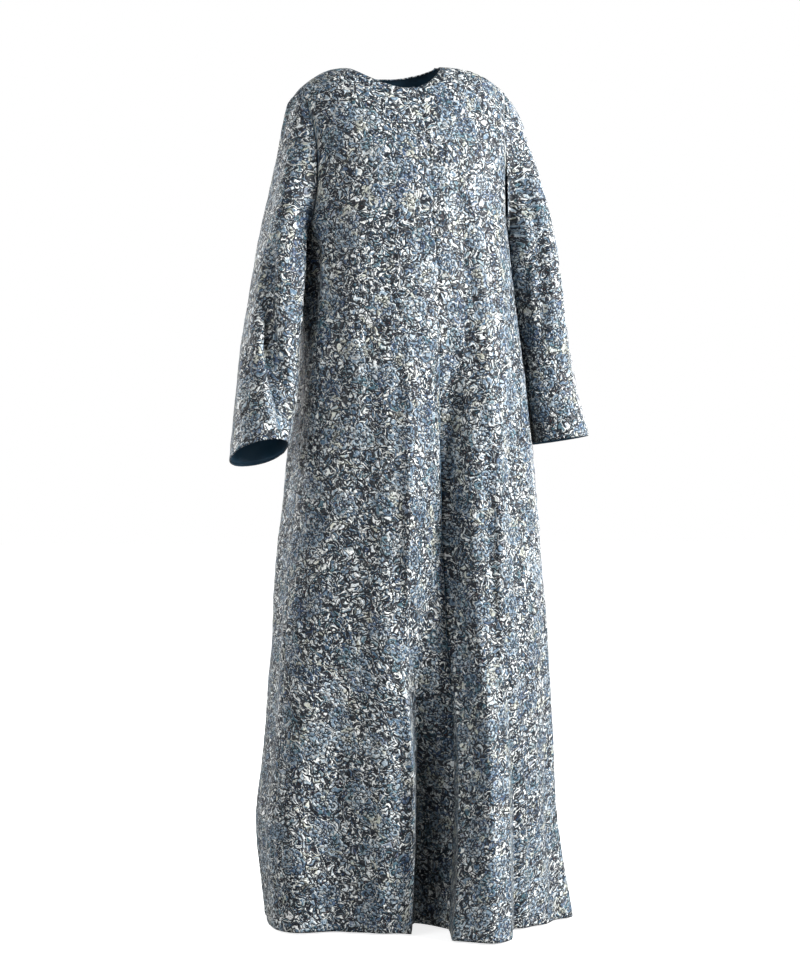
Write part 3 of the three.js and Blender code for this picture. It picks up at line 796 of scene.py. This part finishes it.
    # The light threads puff up between the outlines.
    puff = times(tree, ranged(tree, petalEdge, 0.0, 0.3), notRosette)
    puffBloom = times(tree, ranged(tree, rosetteLine, 0.0, 0.0028), isRosette)
    height = plus(tree, puff, puffBloom)
    height = plus(tree, height, times(tree, onStroke, 0.5))
    swell = noiseTexture(tree, uv, jacquard["swellScale"])["Fac"]
    height = plus(tree, height, times(tree, swell, 2.4))
    relief = {"Strength": 1.0, "Distance": jacquard["puff"], "Height": height}
    relief = addNode(tree, "ShaderNodeBump", relief)
    smoothShare = ranged(tree, tone, 0.35, 0.8, jacquard["roughness"][1], jacquard["roughness"][0], "LINEAR")
    shader = addNode(tree, "ShaderNodeBsdfPrincipled", {
        "Base Color": color, "Roughness": smoothShare, "Normal": relief.outputs[0],
        "Specular IOR Level": 0.4, "Sheen Weight": 0.04, "Sheen Roughness": 0.4})
    addNode(tree, "ShaderNodeOutputMaterial", {"Surface": shader.outputs[0]})
    return material


lining = {"dark": "2c5069", "light": "38627d", "tintScale": 12.0, "grainScale": 900.0, "roughness": 0.5}


def makeLiningMaterial():
    material, tree = emptyMaterial("lining")
    uv = addNode(tree, "ShaderNodeUVMap", uv_map="cloth").outputs[0]
    grain = noiseTexture(tree, uv, lining["grainScale"])["Fac"]
    tint = noiseTexture(tree, uv, lining["tintScale"], 2.0)["Fac"]
    color = blend(tree, ranged(tree, tint, 0.3, 0.7), paint(lining["dark"]), paint(lining["light"]))
    relief = addNode(tree, "ShaderNodeBump", {"Strength": 0.4, "Distance": 0.0002, "Height": grain})
    shader = addNode(tree, "ShaderNodeBsdfPrincipled", {
        "Base Color": color, "Roughness": lining["roughness"], "Normal": relief.outputs[0],
        "Sheen Weight": 0.1})
    addNode(tree, "ShaderNodeOutputMaterial", {"Surface": shader.outputs[0]})
    return material


jacquardMaterial = makeJacquard()
liningMaterial = makeLiningMaterial()
print("materials ready")

levels = bodyLevels()
underarmRow = levels.index((0, gown["underarmDown"]))

# The folds beside the opening, which both fronts share. A row is how far down the cloth, then the foot,
# the crest and the far foot across it, and how far out the fold stands there, or in if negative.
openingFolds = [
    [    # the valley
        (-60, 20, 58, 98, 0), (90, 8, 56, 100, -15), (270, -10, 48, 102, -22), (445, -56, 16, 96, -32),
        (655, -94, -30, 92, -54), (760, -98, -58, 92, -72), (865, -91, -68, 92, -90),
        (1085, -80, -65, 60, -112), (1225, -72, -59, 40, -118),
    ],
    # the thin crest at the valley's edge, and the swell above it
    [(300, -76, -66, -56, 0), (445, -76, -66, -56, 3), (865, -92, -83, -76, 4), (1300, -70, -60, -54, 3)],
    [(120, -40, 8, 55, 0), (270, -40, 8, 50, 9), (445, -40, 10, 46, 9), (600, -40, 10, 46, 0)],
    [    # the ridge before the valley
        (200, -130, -88, -60, 0), (445, -145, -100, -66, 6), (655, -170, -118, -80, 10),
        (865, -195, -137, -90, 20), (1085, -205, -147, -92, 28), (1225, -200, -142, -86, 28),
    ],
]

rightFront = {
    "thickness": 2.0, "waver": 1.6, "anchorRow": underarmRow, "anchorColumn": 75, "patternShift": (0.4, 2.0),
    "overlap": [(10.8, 8), (12, 1)], "outer": [(-24, 28), (-80.5, 38), (-82, 3)],
    # The depth at the end of the next line, in millimetres, is where the painted shadow line along the free
    # edge starts.
    "flat": (0.44, 1.58), "area": 0.477, "longCreases": openingFolds, "paintedShadowLineFrom": 520,
    "creases": [
        (-70, -120, -110, 240, 12, 14, -3.5),
        (-110, -60, -150, 420, -14, 17, 3.0),
        (-128, 10, -150, 620, 10, 16, -2.5),
        (-160, 300, -190, 1000, 10, 22, -2.5),
        (-215, 420, -235, 1190, -8, 20, 2.0),
        (-185, 640, -205, 1215, 6, 20, 2.0),
    ],
}


# Below a set depth, the strip of faces along the free edge takes the dark lining material: a painted shadow
# line where the gap between the two fronts lies in shade.
def makeRightFront():
    overlap = [overlapColumn(past) for past in divided(gown["underlapPast"], rightFront["overlap"])]
    outer = [frontColumn("right", place) for place in divided(-5, rightFront["outer"])[1:]]
    layout = outer[::-1] + overlap
    points = [[columnPoint(column, level, True) for column in layout] for level in levels]
    edge = panelEdge(layout, ["first"], len(layout) - 1)
    piece = makeCloth("RightFront", rightFront, points, [jacquardMaterial, liningMaterial], edgeAt=edge)
    for face in piece.data.polygons:
        r, c = divmod(face.index, len(layout) - 1)
        # Painted shadow line: below that depth, the edge strip's faces take the dark lining material.
        if c == len(layout) - 2 and face.center.z < -rightFront["paintedShadowLineFrom"] * mm:
            face.material_index = 1
    return piece


rightFrontPiece = makeRightFront()
print("right front ready")

leftFront = {
    "thickness": 2.0, "waver": 1.6, "anchorRow": underarmRow, "anchorColumn": 6, "patternShift": (0.4, 2.0),
    "overlap": [(12, 8)], "outer": [(2.9, 2), (4.5, 14), (20.8, 24), (24, 12), (80.5, 42), (82, 3)],
    "flat": (0.6, 1.59), "area": 0.521, "longCreases": openingFolds, "perDegree": 4.2, "groove": 5.0,
    "creases": [
        (121, 330, 104, 960, 0, 7, 4.0),
        (112, 1020, 132, 1320, 3, 6, -4.0),
        (60, -130, 95, 200, -10, 14, -3.0),
        (120, -60, 140, 420, 12, 17, 3.5),
        (186, -165, 196, 40, 4, 10, -3.5),
        (170, -40, 182, 700, -10, 16, -3.0),
        (205, 480, 222, 1130, 6, 15, 3.0),
        (238, 60, 262, 690, 8, 18, -5.0),
        (276, 300, 306, 1120, -8, 20, 6.0),
        (318, 470, 352, 1260, 6, 18, -5.0),
    ],
}


def makeLeftFront():
    overlap = [overlapColumn(past) for past in divided(gown["underlapPast"], leftFront["overlap"])]
    layout = overlap + [frontColumn("left", place) for place in divided(2.3, leftFront["outer"])[1:]]
    edge, eased = gown["topFrontPast"], gown["topFrontPast"] + gown["underlapEase"]
    points = [[columnPoint(column, level, True) for column in layout] for level in levels]

    def pushAt(r, c):
        rise, down = levels[r]
        if rise > 0:
            return Vector((0, 0, 0))
        return deepFoldPush(layout[c][1](down) - clothPast(down, edge), down)

    def insetAt(r, c):
        down = levels[r][1]
        under = 1 - smooth(layout[c][1](down), clothPast(down, edge), clothPast(down, eased))
        beside = (layout[c][1](down) - clothPast(down, edge)) * leftFront["perDegree"]
        groove = leftFront["groove"] * math.exp(-((beside - 1.5) / 3.5) ** 2)
        groove *= 0.3 + 0.7 * smooth(down, 430, 620)
        return (gown["wall"] + gown["layerGap"]) * under + groove

    sides = panelEdge(layout, ["last"], None)
    return makeCloth("LeftFront", leftFront, points, [jacquardMaterial, liningMaterial], insetAt, sides,
                     pushAt=pushAt)


leftFrontPiece = makeLeftFront()
print("left front ready")

back = {
    "thickness": 2.0, "waver": 1.8, "anchorRow": underarmRow, "anchorColumn": 59, "patternShift": (3.3, 2.6),
    "shares": [(0.01, 3), (13 / 28, 44), (19 / 28, 24), (0.99, 32), (1, 3)],
    "flat": (0.91, 1.59), "area": 1.0,
    "creases": [
        (0, -150, 10, 320, 8, 20, -4.0),
        (-70, -60, -112, 540, 12, 20, 5.0),
        (76, -90, 132, 450, -10, 18, -5.0),
        (-152, 40, -192, 700, -12, 18, -6.0),
        (166, 110, 214, 780, 10, 20, 6.0),
        (-38, 250, -60, 990, 6, 22, -6.0),
        (52, 350, 78, 1300, -6, 20, 6.0),
        (-238, 290, -300, 1300, 10, 20, 6.0),
        (256, 390, 302, 1280, -8, 22, -6.0),
        (-122, 570, -150, 1300, 6, 18, 5.0),
        (128, 640, 160, 1200, -6, 16, -5.0),
        (-330, 190, -382, 910, 8, 18, -5.0),
        (336, 150, 386, 830, -8, 18, 5.0),
        (-26, -210, -62, -50, 5, 14, 3.0),
        (44, -200, 92, -30, -5, 14, -3.0),
    ],
}


def makeBack():
    layout = [backColumn(share) for share in divided(0, back["shares"])]
    points = [[columnPoint(column, level, False) for column in layout] for level in levels]
    edge = panelEdge(layout, ["first", "last"], None)
    return makeCloth("Back", back, points, [jacquardMaterial, liningMaterial], edgeAt=edge)


backPiece = makeBack()
print("back ready")

rightSleeve = {
    "thickness": 2.0, "waver": 1.6, "anchorRow": 0, "anchorColumn": 38, "patternShift": (5.1, 1.2),
    "side": "right", "columns": 76, "reaches": [(6, 4), (160, 22), (620, 74), (632, 5)],
    "flat": (0.39, 0.66), "area": 0.196,
    "creases": [
        (40, 240, 80, 470, 0, 13, -18),
        (66, 395, 138, 600, -6, 14, -20),
        (124, 180, 130, 450, 0, 14, 8),
        (160, 150, 166, 450, 0, 18, -14),
        (30, 90, 20, 300, -6, 14, -4),
        (8, 420, 30, 600, 5, 14, 4),
        (-60, 120, -110, 420, 10, 18, -9),
        (-110, 260, -80, 560, -8, 15, 6),
        (-150, 330, -135, 600, 6, 15, -7),
    ],
}
leftSleeve = {
    "thickness": 2.0, "waver": 1.6, "anchorRow": 0, "anchorColumn": 38, "patternShift": (6.7, 1.4),
    "side": "left", "columns": 76, "reaches": [(6, 4), (160, 22), (605, 72), (617, 5)],
    "flat": (0.4, 0.64), "area": 0.192,
    "creases": [
        (-82, 110, -108, 330, 4, 12, -8),
        (-104, 240, -156, 520, -6, 12, -8),
        (-140, 120, -150, 700, 0, 22, 12),
        (-50, 150, -66, 420, 6, 15, 4),
        (-30, 330, -48, 610, -5, 14, -4),
        (50, 100, 95, 400, -8, 18, -9),
        (100, 260, 78, 580, 8, 15, 6),
        (140, 300, 130, 600, -6, 15, -7),
    ],
}


def sleeveGrid(settings, reaches):
    turn = 1 if settings["side"] == "right" else -1
    angles = [180 + turn * 360 * k / settings["columns"] for k in range(settings["columns"] + 1)]
    return [[sleevePoint(settings["side"], angle, reach) for angle in angles] for reach in reaches]


def makeSleeve(name, settings):
    points = sleeveGrid(settings, divided(0, settings["reaches"]))

    def edgeAt(grid, r, c):
        top, bottom = (grid[r][c] - grid[0][c]).length, (grid[r][c] - grid[-1][c]).length
        draw = seamDraw(top, grid[0][c].z) if top < 12 else 0
        return draw + (gown["edgeDepth"] * math.exp(-(bottom / 2.5) ** 2) if bottom < 12 else 0)

    materials = [jacquardMaterial, liningMaterial]
    return makeCloth(name, settings, points, materials, edgeAt=edgeAt, tube=True)


rightSleevePiece = makeSleeve("RightSleeve", rightSleeve)
leftSleevePiece = makeSleeve("LeftSleeve", leftSleeve)
print("sleeves ready")

rightLining = {
    "thickness": 1.0, "waver": 1.6, "anchorRow": 0, "anchorColumn": 38, "patternShift": (8.1, 1.2),
    "sleeve": rightSleeve, "length": 632, "steps": 18, "flat": (0.39, 0.103), "area": 0.0304,
}
leftLining = {
    "thickness": 1.0, "waver": 1.6, "anchorRow": 0, "anchorColumn": 38, "patternShift": (8.9, 1.2),
    "sleeve": leftSleeve, "length": 617, "steps": 18, "flat": (0.4, 0.093), "area": 0.0316,
}


def makeLining(name, settings):
    start = settings["length"] * sleeveForm["liningStart"]
    settings["creases"] = [
        (x0, y0 - start, x1, y1 - start, *shape) for x0, y0, x1, y1, *shape in settings["sleeve"]["creases"]
    ]
    end = settings["length"] - sleeveForm["cuffSetBack"]
    points = sleeveGrid(settings["sleeve"], divided(start, [(end, settings["steps"])]))
    layer = gown["wall"] + gown["layerGap"]
    return makeCloth(name, settings, points, [liningMaterial], insetAt=lambda r, c: layer, tube=True)


rightLiningPiece = makeLining("RightSleeveLining", rightLining)
leftLiningPiece = makeLining("LeftSleeveLining", leftLining)
print("linings ready")

pieces = [
    (rightFrontPiece, rightFront, "right_front", "jacquard"),
    (leftFrontPiece, leftFront, "left_front", "jacquard"),
    (backPiece, back, "back", "jacquard"),
    (rightSleevePiece, rightSleeve, "right_sleeve", "jacquard"),
    (leftSleevePiece, leftSleeve, "left_sleeve", "jacquard"),
    (rightLiningPiece, rightLining, "right_sleeve_lining", "lining"),
    (leftLiningPiece, leftLining, "left_sleeve_lining", "lining"),
]
for piece, settings, node, slotName in pieces:
    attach(piece, "root")
    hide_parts(node)

studio = {
    "floorDown": 1.5115, "floorSize": 30.0, "glow": (0.4, 3.5, 0.8, 1.05),
    "world": 0.22, "aim": (0, 0, -0.68),
    "lens": 93.6, "sensor": 36.0, "cameraAt": (-1.2247, -4.3295, -0.7445), "cameraTurn": 16.0,
    "lights": [
        ("Key", (3.1, -2.2, 0.8), 405.0, 1.9), ("Fill", (-3.2, -2.0, 0.2), 74.0, 2.2),
        ("BackLeft", (2.6, 3.3, 0.3), 190.0, 2.2), ("BackRight", (-2.8, 3.2, 0.3), 120.0, 2.2),
    ],
}


def areaLight(name, place, target, power, size):
    data = bpy.data.lights.new(name, "AREA")
    data.energy, data.size = power, size
    light = bpy.data.objects.new(name, data)
    light.location = place
    light.rotation_euler = (Vector(target) - Vector(place)).to_track_quat("-Z", "Y").to_euler()
    bpy.context.scene.collection.objects.link(light)


def makeStudio():
    bm = bmesh.new()
    bmesh.ops.create_grid(bm, x_segments=1, y_segments=1, size=studio["floorSize"])
    mesh = bpy.data.meshes.new("Floor")
    bm.to_mesh(mesh)
    bm.free()
    floor = bpy.data.objects.new("Floor", mesh)
    floor.location.z = -studio["floorDown"]
    floor.visible_diffuse = False
    floor.visible_glossy = False
    bpy.context.scene.collection.objects.link(floor)
    material, tree = emptyMaterial("floor")
    near = addNode(tree, "ShaderNodeTexCoord").outputs["Object"]
    near = vectorCalc(tree, "LENGTH", near).outputs["Value"]
    glow = ranged(tree, near, *studio["glow"])
    shader = addNode(tree, "ShaderNodeBsdfPrincipled", {
        "Base Color": (0.6, 0.6, 0.6, 1), "Roughness": 0.9,
        "Emission Color": (1, 1, 1, 1), "Emission Strength": glow})
    addNode(tree, "ShaderNodeOutputMaterial", {"Surface": shader.outputs[0]})
    mesh.materials.append(material)

    world = bpy.data.worlds.new("Studio")
    world.use_nodes = True
    tree = world.node_tree
    tree.nodes.clear()
    seen = addNode(tree, "ShaderNodeLightPath").outputs["Is Camera Ray"]
    lit = addNode(tree, "ShaderNodeBackground", {"Color": (1, 1, 1, 1), "Strength": studio["world"]})
    shown = addNode(tree, "ShaderNodeBackground", {"Color": (1, 1, 1, 1), "Strength": 1.0})
    both = addNode(tree, "ShaderNodeMixShader", {0: seen, 1: lit.outputs[0], 2: shown.outputs[0]})
    addNode(tree, "ShaderNodeOutputWorld", {"Surface": both.outputs[0]})
    bpy.context.scene.world = world

    for name, place, power, size in studio["lights"]:
        areaLight(name, place, studio["aim"], power, size)

    view = bpy.data.cameras.new("Camera")
    view.sensor_width, view.lens = studio["sensor"], studio["lens"]
    camera = bpy.data.objects.new("Camera", view)
    camera.location = studio["cameraAt"]
    turn = studio["cameraTurn"] * degree
    camera.rotation_euler = Vector((math.sin(turn), math.cos(turn), 0)).to_track_quat("-Z", "Y").to_euler()
    bpy.context.scene.collection.objects.link(camera)
    bpy.context.scene.camera = camera
    bpy.context.scene.view_settings.view_transform = "Standard"
    bpy.context.scene.view_settings.look = "None"


makeStudio()
print("studio ready")
